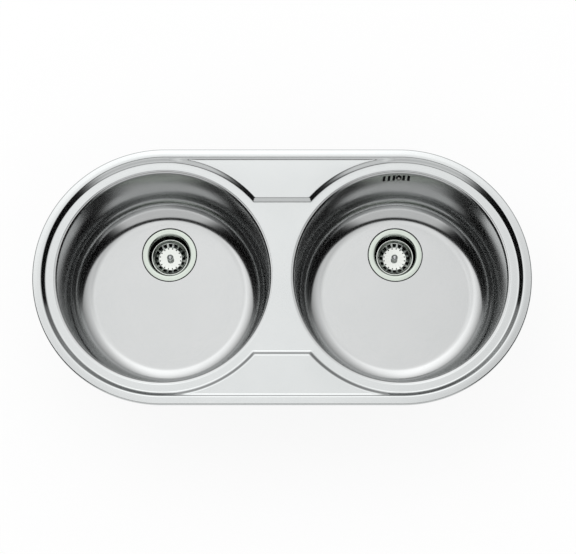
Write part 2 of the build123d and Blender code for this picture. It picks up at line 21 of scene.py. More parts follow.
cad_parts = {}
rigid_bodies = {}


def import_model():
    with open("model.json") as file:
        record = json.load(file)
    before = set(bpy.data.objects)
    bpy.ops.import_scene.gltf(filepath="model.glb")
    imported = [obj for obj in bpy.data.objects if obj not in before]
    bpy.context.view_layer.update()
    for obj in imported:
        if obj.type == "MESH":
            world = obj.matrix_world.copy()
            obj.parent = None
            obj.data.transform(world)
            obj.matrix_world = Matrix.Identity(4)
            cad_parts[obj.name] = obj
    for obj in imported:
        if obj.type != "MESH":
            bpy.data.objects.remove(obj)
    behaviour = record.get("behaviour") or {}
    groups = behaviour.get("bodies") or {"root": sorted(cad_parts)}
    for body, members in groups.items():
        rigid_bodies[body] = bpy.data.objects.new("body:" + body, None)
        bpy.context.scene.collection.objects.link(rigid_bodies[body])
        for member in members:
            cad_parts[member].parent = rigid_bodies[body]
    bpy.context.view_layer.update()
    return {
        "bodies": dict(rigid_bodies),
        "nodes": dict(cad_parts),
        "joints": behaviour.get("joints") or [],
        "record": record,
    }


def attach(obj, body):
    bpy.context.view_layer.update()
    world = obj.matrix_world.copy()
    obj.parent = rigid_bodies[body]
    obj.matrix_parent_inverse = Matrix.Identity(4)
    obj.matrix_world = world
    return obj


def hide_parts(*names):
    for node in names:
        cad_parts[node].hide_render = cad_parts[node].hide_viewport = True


LOG = logging.getLogger("sink")
MM = 0.001
SIDES = (("left", -200.0), ("right", 200.0))    # the bowls, and their axes' x in mm
DRAIN_Y = 74.0                                  # the drains' axes lie behind the bowls' own
SHEET = 0.9                                     # the pressed sheet's thickness
OVERFLOW_LEVEL = -25.0                          # height of the overflow slots' middle
MATH = "ShaderNodeMath"                         # the node types that are used most
MIX = "ShaderNodeMix"
RANGE = "ShaderNodeMapRange"
AXES = "ShaderNodeSeparateXYZ"
Mesh = bmesh.types.BMesh
Piece = bpy.types.Object
Node = bpy.types.Node
Socket = bpy.types.NodeSocket
Tree = bpy.types.NodeTree
Point = tuple[float, float]
Triple = tuple[float, float, float]
Rows = list[list[Triple]]


# ---- profiles and meshes
def soft_path(corners: list[Triple], closed: bool = False,
              step: float = 12.0) -> list[Point]:
    """Round the corners of a polyline.

    Args:
        corners: x, y and corner radius of each point, in mm.
        closed: whether the last point joins the first.
        step: degrees turned by one facet of a rounded corner.

    Returns:
        The points of the softened line.
    """
    line: list[Point] = []
    count = len(corners)
    for index, (x, y, radius) in enumerate(corners):
        here = Vector((x, y))
        if radius <= 0 or (not closed and index in (0, count - 1)):
            line.append((x, y))
            continue
        back = Vector(corners[index - 1][:2]) - here
        ahead = Vector(corners[(index + 1) % count][:2]) - here
        between = back.angle(ahead)
        reach = min(radius / math.tan(between / 2), 0.499 * back.length, 0.499 * ahead.length)
        true_radius = reach * math.tan(between / 2)
        start = here + back.normalized() * reach
        centre = here + (back.normalized() + ahead.normalized()).normalized() * (
            true_radius / math.sin(between / 2))
        sweep = math.pi - between
        sign = 1.0 if back.cross(ahead) < 0 else -1.0
        parts = max(2, math.ceil(math.degrees(sweep) / step))
        for part in range(parts + 1):
            turned = Matrix.Rotation(sign * sweep * part / parts, 2) @ (start - centre)
            line.append(tuple(centre + turned))
    return line


def circle(radius: float, steps: int, x: float = 0.0, y: float = 0.0) -> list[Point]:
    """The corners of a circle in plan, in mm."""
    turns = [2 * math.pi * k / steps for k in range(steps)]
    return [(x + radius * math.cos(t), y + radius * math.sin(t)) for t in turns]


def ring_rows(profile: list[Point], steps: int, y: float = 0.0) -> Rows:
    """Turn a radius and height profile about an upright axis into rings of points in mm."""
    return [[(px, py, z) for px, py in circle(radius, steps, y=y)] for radius, z in profile]


def skin_rows(rows: Rows, along: bool = False) -> Mesh:
    """Join closed rows of points by quads.

    Args:
        rows: rows with the same number of points, in mm.
        along: whether the last row joins the first.

    Returns:
        A bmesh in metres with doubled points merged.
    """
    mesh = bmesh.new()
    made = [[mesh.verts.new(Vector(point) * MM) for point in row] for row in rows]
    width = len(rows[0])
    for index in range(len(rows) if along else len(rows) - 1):
        low, high = made[index], made[(index + 1) % len(rows)]
        for k in range(width):
            n = (k + 1) % width
            mesh.faces.new((low[k], low[n], high[n], high[k]))
    bmesh.ops.remove_doubles(mesh, verts=mesh.verts, dist=1e-7)
    bmesh.ops.dissolve_degenerate(mesh, edges=mesh.edges, dist=1e-8)
    return mesh


def lathe(profile: list[Point], steps: int, closed: bool = True) -> Mesh:
    """A solid turned about Z, with its faces outwards.

    Args:
        profile: radius and height of each point in mm.
        steps: facets round the axis.
        closed: whether the profile is a closed loop, and not a line from axis to axis.

    Returns:
        The turned bmesh in metres.
    """
    mesh = skin_rows(ring_rows(profile, steps), along=closed)
    bmesh.ops.recalc_face_normals(mesh, faces=mesh.faces)
    return mesh


def slab(outline: list[Point], low: float, high: float) -> Mesh:
    """Raise a plan outline into a straight block.

    Args:
        outline: the outline in mm.
        low: height of its foot in mm.
        high: height of its top in mm.

    Returns:
        The closed block.
    """
    mesh = skin_rows([[(x, y, z) for x, y in outline] for z in (low, high)])
    bmesh.ops.holes_fill(mesh, edges=mesh.edges, sides=0)
    bmesh.ops.recalc_face_normals(mesh, faces=mesh.faces)
    return mesh


def moved(mesh: Mesh, x: float = 0.0, y: float = 0.0, z: float = 0.0,
          turn: Matrix | None = None) -> Mesh:
    """Turn a bmesh about the origin, then shift it.

    Args:
        mesh: the bmesh, which is changed.
        x: the shift along X in mm.
        y: the shift along Y in mm.
        z: the shift along Z in mm.
        turn: the turn, if any.

    Returns:
        The same bmesh.
    """
    place = Matrix.Translation(Vector((x, y, z)) * MM)
    if turn is not None:
        place = place @ turn.to_4x4()
    bmesh.ops.transform(mesh, matrix=place, verts=mesh.verts)
    return mesh


def join(parts: list[Mesh]) -> Mesh:
    """Put several bmeshes into the first one.

    Args:
        parts: the bmeshes; all but the first are freed.

    Returns:
        The first one.
    """
    whole = parts[0]
    for part in parts[1:]:
        loose = bpy.data.meshes.new("loose")
        part.to_mesh(loose)
        whole.from_mesh(loose)
        bpy.data.meshes.remove(loose)
        part.free()
    return whole


def linked(made: Piece) -> Piece:
    """Put an object into the scene."""
    bpy.context.scene.collection.objects.link(made)
    return made


def shade(data: bpy.types.Mesh, sharp: float = 38.0) -> None:
    """Shade a mesh smooth, except for edges that turn by more than some degrees."""
    data.shade_smooth()
    data.set_sharp_from_angle(angle=math.radians(sharp))


def to_object(name: str, mesh: Mesh) -> Piece:
    """Make a smooth-shaded object from a bmesh.

    Args:
        name: the object's name.
        mesh: the bmesh, which is freed.

    Returns:
        The object, at the origin.
    """
    data = bpy.data.meshes.new(name)
    mesh.to_mesh(data)
    mesh.free()
    shade(data)
    return linked(bpy.data.objects.new(name, data))


def settle(made: Piece, sharp: float = 38.0) -> Piece:
    """Turn an object's modifiers into its own mesh and remove them.

    Args:
        made: the object.
        sharp: degrees between two faces from which their edge stays sharp.

    Returns:
        The object.
    """
    graph = bpy.context.evaluated_depsgraph_get()
    data = bpy.data.meshes.new_from_object(made.evaluated_get(graph))
    made.modifiers.clear()
    old = made.data
    made.data = data
    if old.users == 0:
        bpy.data.meshes.remove(old)
    shade(data, sharp)
    return made


def modifier(made: Piece, kind: str, **settings: object) -> bpy.types.Modifier:
    """Add a modifier.

    Args:
        made: the object that gets it.
        kind: the modifier's type name.
        settings: its properties.

    Returns:
        The modifier.
    """
    added = made.modifiers.new(kind.title(), kind)
    for key, value in settings.items():
        setattr(added, key, value)
    return added


def thickened(mesh: Mesh, name: str) -> Piece:
    """Make a sheet object, with the pressed sheet's thickness under its face.

    Args:
        mesh: the upper face, which is freed.
        name: the object's name.

    Returns:
        The object.
    """
    made = to_object(name, mesh)
    modifier(made, "SOLIDIFY", thickness=SHEET * MM, offset=-1.0, use_even_offset=True)
    return settle(made)


def drop(made: Piece) -> None:
    """Delete a helper object."""
    bpy.data.objects.remove(made, do_unlink=True)


# ---- node trees
def linear(code: str) -> tuple[float, float, float, float]:
    """The linear colour of an sRGB hex value such as "c8c9c7"."""
    parts = [int(code[k:k + 2], 16) / 255 for k in (0, 2, 4)]
    return (*[p / 12.92 if p <= 0.04045 else ((p + 0.055) / 1.055) ** 2.4 for p in parts], 1.0)


def add_node(tree: Tree, kind: str, links: dict | tuple = (), **settings: object) -> Node:
    """Add a node.

    Args:
        tree: the node tree.
        kind: the node's type name.
        links: what its inputs get, by name or number or in order: a constant, a socket, or a
            node for that node's first output.
        settings: the node's own properties.

    Returns:
        The new node.
    """
    node = tree.nodes.new(kind)
    for key, value in settings.items():
        setattr(node, key, value)
    for key, value in links.items() if isinstance(links, dict) else enumerate(links):
        if isinstance(value, Node):
            value = next(socket for socket in value.outputs if socket.enabled)
        if isinstance(value, Socket):
            tree.links.new(value, node.inputs[key])
        else:
            node.inputs[key].default_value = value
    return node


def blank_tree(owner: bpy.types.Material | bpy.types.World) -> Tree:
    """Empty the node tree of a material or world.

    Args:
        owner: the material or world.

    Returns:
        Its node tree.
    """
    owner.use_nodes = True
    owner.node_tree.nodes.clear()
    return owner.node_tree


def open_group(name: str, **inputs: str) -> tuple[Tree, bpy.types.NodeOutputs]:
    """Start a Geometry Nodes tree.

    Args:
        name: the tree's name.
        inputs: the kind of each input next to the geometry and the material.

    Returns:
        The tree and the sockets of what it is given.
    """
    tree = bpy.data.node_groups.new(name, "GeometryNodeTree")
    for key, kind in {"Geometry": "Geometry", **inputs, "Finish": "Material"}.items():
        tree.interface.new_socket(key, in_out="INPUT", socket_type=f"NodeSocket{kind}")
    tree.interface.new_socket("Geometry", in_out="OUTPUT", socket_type="NodeSocketGeometry")
    return tree, add_node(tree, "NodeGroupInput").outputs


def close_group(tree: Tree, shape: Node, finish: Socket) -> Tree:
    """End a Geometry Nodes tree with its shape made real and given its material.

    Args:
        tree: the tree.
        shape: what it has made.
        finish: the material.

    Returns:
        The tree.
    """
    whole = add_node(tree, "GeometryNodeRealizeInstances", (shape,))
    dressed = add_node(tree, "GeometryNodeSetMaterial", {"Geometry": whole, "Material": finish})
    add_node(tree, "NodeGroupOutput", (dressed,))
    return tree


def add_group(made: Piece, tree: Tree, values: dict) -> None:
    """Add a Geometry Nodes modifier.

    Args:
        made: the object that gets it.
        tree: the node tree.
        values: the tree's inputs by name.
    """
    added = modifier(made, "NODES", node_group=tree)
    for item in tree.interface.items_tree:
        if item.in_out == "INPUT" and item.name in values:
            added[item.identifier] = values[item.name]


class Layout(Enum):
    """How a repeated cut is laid out."""

    RING = "ring"
    ROW = "row"


def repeat_tree(layout: Layout) -> Tree:
    """A Geometry Nodes tree that cuts a shape out of a piece again and again.

    Args:
        layout: copies turned about Z, or shifted along X.

    Returns:
        The tree, with inputs Cutter, Count, Step, Start, Skip and Finish.
    """
    tree, given = open_group(f"cut in a {layout.value}", Cutter="Object", Count="Int",
                             Step="Float", Start="Float", Skip="Int")
    add = partial(add_node, tree)
    index = add("GeometryNodeInputIndex")
    place = add(MATH, (index, given["Step"], given["Start"]), operation="MULTIPLY_ADD")
    vector = add("ShaderNodeCombineXYZ", {"Z" if layout is Layout.RING else "X": place})
    points = add("GeometryNodeMeshLine", {"Count": given["Count"], "Offset": (0, 0, 0)})
    keep = add("FunctionNodeCompare", {2: index, 3: given["Skip"]}, data_type="INT",
               operation="NOT_EQUAL")
    cutter = add("GeometryNodeObjectInfo", {"Object": given["Cutter"]}).outputs["Geometry"]
    places = {"Points": points, "Selection": keep, "Instance": cutter}
    if layout is Layout.RING:
        copies = add("GeometryNodeInstanceOnPoints", {**places, "Rotation": vector})
    else:
        copies = add("GeometryNodeTranslateInstances",
                     {"Instances": add("GeometryNodeInstanceOnPoints", places),
                      "Translation": vector})
    real = add("GeometryNodeRealizeInstances", (copies,))
    cut = add("GeometryNodeMeshBoolean", {"Mesh 1": given["Geometry"], "Mesh 2": real},
              operation="DIFFERENCE", solver="EXACT")
    return close_group(tree, cut, given["Finish"])


def cut_repeated(made: Piece, layout: Layout, cutter: Piece, finish: bpy.types.Material,
                 count: int, step: float, start: float = 0.0, skip: int = -1) -> None:
    """Cut a shape out of a piece again and again, and keep the result as its mesh.

    Args:
        made: the piece that is cut.
        layout: ring or row.
        cutter: the shape, which is deleted afterwards.
        finish: the piece's material.
        count: number of places.
        step: radians or metres from one place to the next.
        start: the first place.
        skip: number of a place that gets no cut.
    """
    tree = bpy.data.node_groups.get(f"cut in a {layout.value}") or repeat_tree(layout)
    add_group(made, tree, {"Cutter": cutter, "Count": count, "Step": step, "Start": start,
                           "Skip": skip, "Finish": finish})
    settle(made)
    drop(cutter)


def hose_tree() -> Tree:
    """A Geometry Nodes tree that sweeps a ribbed wall along a path.

    Returns:
        The tree, with inputs Pitch, Crest, Valley, Cuff, Length, Facets and Finish.
    """
    tree, given = open_group("ribbed hose", Pitch="Float", Crest="Float", Valley="Float",
                             Cuff="Float", Length="Float", Facets="Int")
    add = partial(add_node, tree)
    pitch, crest, valley, cuff = (given[key] for key in ("Pitch", "Crest", "Valley", "Cuff"))
    fine = add(MATH, (pitch, 10.0), operation="DIVIDE")
    path = add("GeometryNodeResampleCurve", {"Curve": given["Geometry"], "Length": fine},
               mode="LENGTH")
    along = add("GeometryNodeSplineParameter").outputs["Length"]
    start = add(MATH, (along, cuff), operation="SUBTRACT")
    rest = add(MATH, (given["Length"], along), operation="SUBTRACT")
    left = add(MATH, (rest, cuff), operation="SUBTRACT")
    nearest = add(MATH, (start, left), operation="MINIMUM")
    inside = add(MATH, (nearest, 0.0), operation="GREATER_THAN")
    ribs = add(MATH, (start, pitch), operation="DIVIDE")
    turn = add(MATH, (ribs, 2 * math.pi), operation="MULTIPLY")
    swing = add(MATH, (turn,), operation="COSINE")
    wave = add(MATH, (swing, -0.5, 0.5), operation="MULTIPLY_ADD")
    height = add(MATH, (crest, valley), operation="SUBTRACT")
    raised = add(MATH, (height, wave), operation="MULTIPLY")
    ribbed = add(MATH, (valley, raised), operation="ADD")
    radius = add("GeometryNodeSwitch", (inside, crest, ribbed), input_type="FLOAT")
    ring = add("GeometryNodeCurvePrimitiveCircle", {"Resolution": given["Facets"], "Radius": 1.0})
    wall = add("GeometryNodeCurveToMesh", {"Curve": path, "Profile Curve": ring, "Scale": radius})
    return close_group(tree, wall, given["Finish"])


# ---- finishes
class Grain(Enum):
    """How the fine marks of a surface run."""

    EVEN = "even"       # moulded or cast, no direction
    ALONG = "along"     # rolled or brushed along X
    ROUND = "round"     # spun or polished round an upright axis


CLOUD_SHARE = 0.35      # how much of a finish's wander comes from its faint wide patches
WANDER = (0.3, 0.7)     # the part of the noise's range that the wander is drawn from


@dataclass(frozen=True)
class Finish:
    """A real material and how its surface was made."""

    name: str
    slot: str
    colour: str                 # sRGB hex
    shade: str                  # sRGB hex that the grain wanders to
    metallic: float
    roughness: float
    spread: float               # how far the roughness wanders
    grain_mm: float             # spacing of the marks
    relief_mm: float            # height of the marks
    grain: Grain = Grain.EVEN
    centre: Point = (0.0, 0.0)  # axis that a round grain runs about, in mm
    stretch: float = 14.0       # length of a mark over its width
    cloud_mm: float = 60.0      # size of the faint wide patches
    tint: str = ""              # sRGB hex of the painted shade that it darkens to towards its foot
    tint_from: float = 0.0      # height where that starts, in mm
    tint_to: float = -1.0       # height where it is full

    def marks(self, tree: Tree) -> Socket:
        """Lay out the coordinates that the grain is drawn in.

        Args:
            tree: the material's node tree.

        Returns:
            The coordinates, in metres.
        """
        place = add_node(tree, "ShaderNodeTexCoord").outputs["Object"]
        if self.grain is Grain.EVEN:
            return place
        if self.grain is Grain.ALONG:
            return add_node(tree, "ShaderNodeMapping",
                            {0: place, "Scale": (1 / self.stretch, 1, 1)}).outputs[0]
        shift = (-self.centre[0] * MM, -self.centre[1] * MM, 0.0)
        local = add_node(tree, "ShaderNodeMapping", {0: place, "Location": shift})
        x, y, z = add_node(tree, AXES, (local,)).outputs
        flat = add_node(tree, "ShaderNodeCombineXYZ", (x, y))
        reach = add_node(tree, "ShaderNodeVectorMath", (flat,), operation="LENGTH")
        turn = add_node(tree, MATH, (y, x), operation="ARCTAN2")
        slow = add_node(tree, MATH, (turn, 0.1 / self.stretch), operation="MULTIPLY")
        return add_node(tree, "ShaderNodeCombineXYZ", (reach, z, slow)).outputs[0]

    def material(self) -> bpy.types.Material:
        """Build the material, or find it if it is there already.

        Returns:
            The material.
        """
        found = bpy.data.materials.get(self.name)
        if found:
            return found
        made = bpy.data.materials.new(self.name)
        tree = blank_tree(made)
        add = partial(add_node, tree)
        fine = add("ShaderNodeTexNoise", {"Vector": self.marks(tree), "Detail": 2.0,
                                          "Scale": 1 / (self.grain_mm * MM), "Roughness": 0.6})
        place = add("ShaderNodeTexCoord").outputs["Object"]
        cloud = add("ShaderNodeTexNoise", {"Vector": place, "Detail": 3.0,
                                           "Scale": 1 / (self.cloud_mm * MM), "Roughness": 0.55})
        both = add(MIX, {"Factor": CLOUD_SHARE, "A": fine, "B": cloud})
        wander = add(RANGE, (both, *WANDER))
        colour = add(MIX, {"Factor": wander, "A": linear(self.colour), "B": linear(self.shade)},
                     data_type="RGBA")
        # Painted shade: the colour darkens to the painted shade's colour towards the foot.
        if self.tint:
            height = add(AXES, (place,)).outputs["Z"]
            share = add(RANGE, (height, self.tint_from * MM, self.tint_to * MM))
            colour = add(MIX, {"Factor": share, "A": colour, "B": linear(self.tint)},
                         data_type="RGBA")
        rough = add(RANGE, (wander, 0.0, 1.0, self.roughness - self.spread,
                            self.roughness + self.spread))
        bump = add("ShaderNodeBump", {"Height": fine, "Strength": 1.0,
                                      "Distance": self.relief_mm * MM})
        shader = add("ShaderNodeBsdfPrincipled", {"Base Color": colour, "Roughness": rough,
                                                  "Normal": bump, "Metallic": self.metallic})
        add("ShaderNodeOutputMaterial", {"Surface": shader})
        return made


def round_steel(name: str, slot: str, colours: tuple[str, str], rough: Point, y: float,
                **tint: object) -> dict[str, Finish]:
    """A steel for each side, with its marks round that side's axis, which stands at y."""
    return {side: Finish(f"{name}_{side}", slot, *colours, 1.0, *rough, 0.6, 0.0001,
                         Grain.ROUND, (x, y), **tint) for side, x in SIDES}


# 18/10 stainless sheet, cold rolled and satin finished: a broad soft sheen with fine
# marks along the sheet.
DECK_STEEL = Finish("satin_stainless_sheet", "deck_steel", "d3d5d5", "cdd0d0", 1.0, 0.13, 0.02,
                    0.4, 0.0001, Grain.ALONG)
# The same sheet deep drawn and then polished round: sharper reflections, rings of marks.
BOWL_STEEL = round_steel("drawn_stainless", "bowl_steel", ("cccdcd", "c6c8c8"), (0.14, 0.015), 0.0)
# Pressed stainless, barrel polished, with painted shade that darkens the deep well to nearly black
# towards its foot.
WELL_STEEL_PAINTED_SHADE = round_steel("stainless_well_painted_shade", "polished_steel", ("d0d8cf", "c6cdc5"),
                         (0.10, 0.02), DRAIN_Y, tint="262c27", tint_from=-168.0, tint_to=-188.0)
# The same without the painted shade: brighter and smoother than the sheet.
WASTE_STEEL = round_steel("polished_stainless", "polished_steel", ("e2e5e1", "d8dcd7"),
                          (0.10, 0.02), DRAIN_Y)
# Bright chromium plate on a turned knob.
CHROME = Finish("chromium_plate", "chrome", "dfe1e2", "d6d9db", 1.0, 0.07, 0.015, 1.5, 0.0001)
# Machined stainless screws.
SCREW_STEEL = Finish("machined_stainless", "screw_steel", "bdbcb8", "acaba7", 1.0, 0.25, 0.05,
                     0.6, 0.0006)
# Cold rolled strip, zinc plated: greyer, with a faint cloudy bloom.
ZINC = Finish("zinc_plated_strip", "plated_steel", "b4b5b2", "9fa2a1", 1.0, 0.38, 0.07, 1.4,
              0.0015, cloud_mm=18.0)
# Moulded nitrile rubber, dull black with a slight bloom.
RUBBER = Finish("moulded_nitrile_rubber", "black_rubber", "232323", "2d2d2c", 0.0, 0.62, 0.06,
                0.8, 0.004)
# Closed-cell polyethylene foam strip.
FOAM = Finish("closed_cell_foam", "grey_foam", "5a5c5e", "6b6d6f", 0.0, 0.85, 0.05, 1.1, 0.05)
# Bitumen-filled deadening pad with a sanded face.
PAD = Finish("bitumen_deadening_pad", "grey_pad", "3f3f41", "4c4c4e", 0.0, 0.8, 0.06, 1.6, 0.08)
# Injection moulded polypropylene with a light spark-eroded texture.
POLYPROPYLENE = Finish("moulded_polypropylene", "white_plastic", "e6e6e2", "dededa", 0.0, 0.42,
                       0.05, 0.5, 0.004)
# The same resin, made near black as painted shade, for the housing that shows through the
# overflow's slots.
HOUSING_PAINTED_SHADE = Finish("housing_painted_shade", "grey_plastic", "242628", "2e3031", 0.0, 0.45,
                 0.05, 0.5, 0.004)
# Blow moulded polyethylene hose wall.
HOSE_WALL = Finish("blow_moulded_polyethylene", "grey_plastic", "a9acae", "9da0a2", 0.0, 0.46,
                   0.05, 1.2, 0.01)


# ---- placing and dressing
def finished(made: Piece, finish: Finish, body: str, *nodes: str) -> Piece:
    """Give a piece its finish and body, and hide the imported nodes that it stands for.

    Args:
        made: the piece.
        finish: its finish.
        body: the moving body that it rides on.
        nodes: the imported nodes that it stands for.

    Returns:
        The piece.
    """
    made.data.materials.clear()
    made.data.materials.append(finish.material())
    made.data.polygons.foreach_set("material_index", [0] * len(made.data.polygons))
    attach(made, body)
    if nodes:
        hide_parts(*nodes)
    LOG.info("%s: %d faces on %s", made.name, len(made.data.polygons), body)
    return made


def refined(frame: dict, node: str, finish: Finish, body: str, soften: float = 0.0) -> Piece:
    """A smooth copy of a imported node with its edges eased.

    Args:
        node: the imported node.
        finish: the copy's finish.
        body: the body that it rides on.
        soften: how far the sharp edges are eased, in mm.

    Returns:
        The copy.
    """
    mesh = bmesh.new()
    mesh.from_mesh(frame["nodes"][node].data)
    bmesh.ops.remove_doubles(mesh, verts=mesh.verts, dist=2e-6)
    bmesh.ops.dissolve_limit(mesh, angle_limit=math.radians(0.5), verts=mesh.verts,
                             edges=mesh.edges)
    made = to_object(f"{node}_fine", mesh)
    if soften > 0:
        modifier(made, "BEVEL", width=soften * MM, segments=2, limit_method="ANGLE",
                 angle_limit=math.radians(50))
        settle(made)
    return finished(made, finish, body, node)


# ---- the pressed deck
@dataclass
class Deck:
    """One pressed sheet: rolled rim, fall, ring band, middle web and two tap ledges."""

    end_radius: float = 220.0
    half_spacing: float = 200.0
    crown: float = 6.0
    edge_round: float = 4.5
    edge_fall: float = 9.5      # plan width of the rim's outer part, which falls a little
    edge_drop: float = 0.6
    skirt: float = 0.3
    fall_top: float = 205.5
    fall_foot: float = 198.5
    fall_round: float = 4.5
    band: float = -1.0
    ledge: float = 3.5
    ledge_foot: float = 198.8
    ledge_run: float = 6.0
    ledge_round: float = 7.0
    web_half: float = 129.0
    lead_out: float = 12.0
    lead_rise: float = 0.839
    mouth: float = 184.0
    mouth_ease: float = 2.2     # how far the sheet's edge is eased round a bowl
    mouth_sink: float = 0.6
    mouth_turn: float = 0.97    # sine of the angle that the eased edge turns by
    apron: float = 190.0        # a ring on the flat band that keeps its facets even
    crease: float = 1.4         # how softly the ledge runs into the rim's fall
    beyond: float = 2.0         # how far past a soft edge the mesh still follows it
    arc_steps: int = 150        # facets round one rounded end
    straight_steps: int = 60
    mouth_steps: int = 300
    rim_line: list[Point] = field(default_factory=list)
    ledge_line: list[Point] = field(default_factory=list)

    def __post_init__(self) -> None:
        """Work out the two fall profiles."""
        self.rim_line = soft_path(
            [(150.0, self.band, 0), (self.fall_foot, self.band, self.fall_round),
             (self.fall_top, self.crown, self.fall_round),
             (self.end_radius - self.edge_fall, self.crown, 0)], step=5)
        self.ledge_line = soft_path(
            [(-30.0, self.band, 0), (0.0, self.band, self.ledge_round),
             (self.ledge_run, self.ledge, self.ledge_round),
             (self.ledge_run + self.lead_out, self.ledge + self.lead_rise, 0)], step=5)

    @staticmethod
    def along(line: list[Point], place: float) -> float:
        """Read a profile's height.

        Args:
            line: the profile, as places and heights.
            place: where it is read.

        Returns:
            The height there.
        """
        for (a, low), (b, high) in zip(line, line[1:]):
            if place <= b:
                return low + (high - low) * max(0.0, place - a) / (b - a)
        return line[-1][1]

    def height(self, x: float, y: float) -> float:
        """Work out the height of the sheet's upper face.

        Args:
            x: the place's x in mm.
            y: its y in mm.

        Returns:
            The height in mm.
        """
        over = max(0.0, abs(x) - self.half_spacing)
        rim = self.along(self.rim_line, math.hypot(over, y))
        reach = min(math.hypot(x - self.half_spacing, y), math.hypot(x + self.half_spacing, y))
        if reach < self.mouth + self.mouth_ease:
            past = self.mouth_turn * min(1.0, (self.mouth - reach) / self.mouth_ease + 1)
            return self.band - self.mouth_sink * (1 - math.sqrt(1 - past * past))
        inset = min(reach - self.ledge_foot, abs(y) - self.web_half)
        ledge = min(self.ledge, self.along(self.ledge_line, inset))
        soft = min(self.crease, 0.8 * (min(rim, ledge) - self.band))
        if soft <= 1e-6:
            return max(rim, ledge)
        share = max(soft - abs(rim - ledge), 0.0) / soft
        return max(rim, ledge) + share * share * soft / 4

    def loop(self, radius: float) -> list[Point]:
        """Draw the sink's plan outline at some radius of its two ends.

        Args:
            radius: the ends' radius in mm.

        Returns:
            The outline, from the right end's front round to it again.
        """
        points: list[Point] = []
        for side in (1, -1):
            for k in range(self.arc_steps):
                turn = math.pi * (k / self.arc_steps - 0.5)
                points.append((side * (self.half_spacing + radius * math.cos(turn)),
                               side * radius * math.sin(turn)))
            for k in range(self.straight_steps):
                x = self.half_spacing * (1 - 2 * k / self.straight_steps)
                points.append((side * x, side * radius))
        return points

    def ledge_edge(self, out: float, side: int) -> list[Point]:
        """Draw a line that follows a ledge's foot.

        Args:
            out: its distance from the foot, towards the ledge.
            side: 1 for the ledge at the back, -1 for the one in front.

        Returns:
            The line's points.
        """
        radius = self.ledge_foot + out
        points = []
        for k in range(-96, 97):
            x = 2.0 * k
            gap = self.half_spacing - abs(x)
            y = max(math.sqrt(max(0.0, radius * radius - gap * gap)), self.web_half + out)
            if y < self.fall_top + 0.5:
                points.append((x, side * y))
        return points

    @staticmethod
    def halved(places: list[float], widest: float) -> list[float]:
        """Places along a profile, with one more in the middle of each gap that is too wide."""
        return places + [(a + b) / 2 for a, b in zip(places, places[1:]) if b - a > widest]

    def lines(self, rings: list[float]) -> list[tuple[list[Point], bool]]:
        """Draw all the plan lines that the mesh follows.

        Args:
            rings: radii of the ends at which it follows the sink's outline.

        Returns:
            Each line, and whether it is closed.
        """
        made = [(self.loop(radius), True) for radius in rings + [self.fall_foot - 4]]
        mouths = [self.mouth + self.mouth_ease * k / 5 for k in range(6)] + [self.apron]
        made += [(circle(radius, self.mouth_steps, x), True) for _, x in SIDES
                 for radius in mouths]
        outs = self.halved([out for out, _ in self.ledge_line
                            if -self.beyond < out < self.ledge_run + 1.2], 1.2)
        made += [(self.ledge_edge(out, side), False)
                 for out in sorted(outs) + [-2.2, self.ledge_run + 1.9] for side in (1, -1)]
        return made

    def inner_sheet(self) -> Mesh:
        """Mesh the part inside the rim's crown, with lines along every soft edge.

        Returns:
            The upper face.
        """
        low, high = self.fall_foot - self.beyond, self.fall_top + self.beyond
        rings = self.halved([r for r, _ in self.rim_line if low < r < high], 1.5)
        outer = max(rings)
        points: list[Vector] = []
        edges: list[tuple[int, int]] = []
        for line, closed in self.lines(sorted(set(rings))):
            first = len(points)
            points += [Vector(p) for p in line]
            edges += [(first + k, first + k + 1) for k in range(len(line) - 1)]
            if closed:
                edges.append((first + len(line) - 1, first))
        made = delaunay_2d_cdt(points, edges, [], 0, 1e-5)
        mesh = bmesh.new()
        verts = [mesh.verts.new(Vector((p.x, p.y, self.height(p.x, p.y))) * MM)
                 for p in made[0]]
        for corners in made[2]:
            centre = sum((made[0][k] for k in corners), Vector((0, 0))) / 3
            over = max(0.0, abs(centre.x) - self.half_spacing)
            reach = math.hypot(abs(centre.x) - self.half_spacing, centre.y)
            if math.hypot(over, centre.y) < outer and reach > self.mouth:
                mesh.faces.new([verts[k] for k in corners])
        loose = [v for v in mesh.verts if not v.link_faces]
        bmesh.ops.delete(mesh, geom=loose, context="VERTS")
        return mesh

    def build(self) -> None:
        """Make the deck and dress it."""
        inner = self.inner_sheet()
        start = max(r for r, _ in self.rim_line if r < self.fall_top + self.beyond)
        edge = soft_path([(start, self.crown, 0),
                          (self.end_radius - self.edge_fall, self.crown, 40.0),
                          (self.end_radius, self.crown - self.edge_drop, self.edge_round),
                          (self.end_radius, self.skirt, 0)], step=4)
        rows = [[(x, y, z) for x, y in self.loop(r)] for r, z in edge]
        whole = join([inner, skin_rows(rows)])
        bmesh.ops.remove_doubles(whole, verts=whole.verts, dist=5e-7)
        bmesh.ops.recalc_face_normals(whole, faces=whole.faces)
        highest = max(whole.faces, key=lambda f: f.calc_center_median().z)
        if highest.normal.z < 0:
            bmesh.ops.reverse_faces(whole, faces=whole.faces)
        finished(thickened(whole, "deck_sheet"), DECK_STEEL, "sink", "deck")


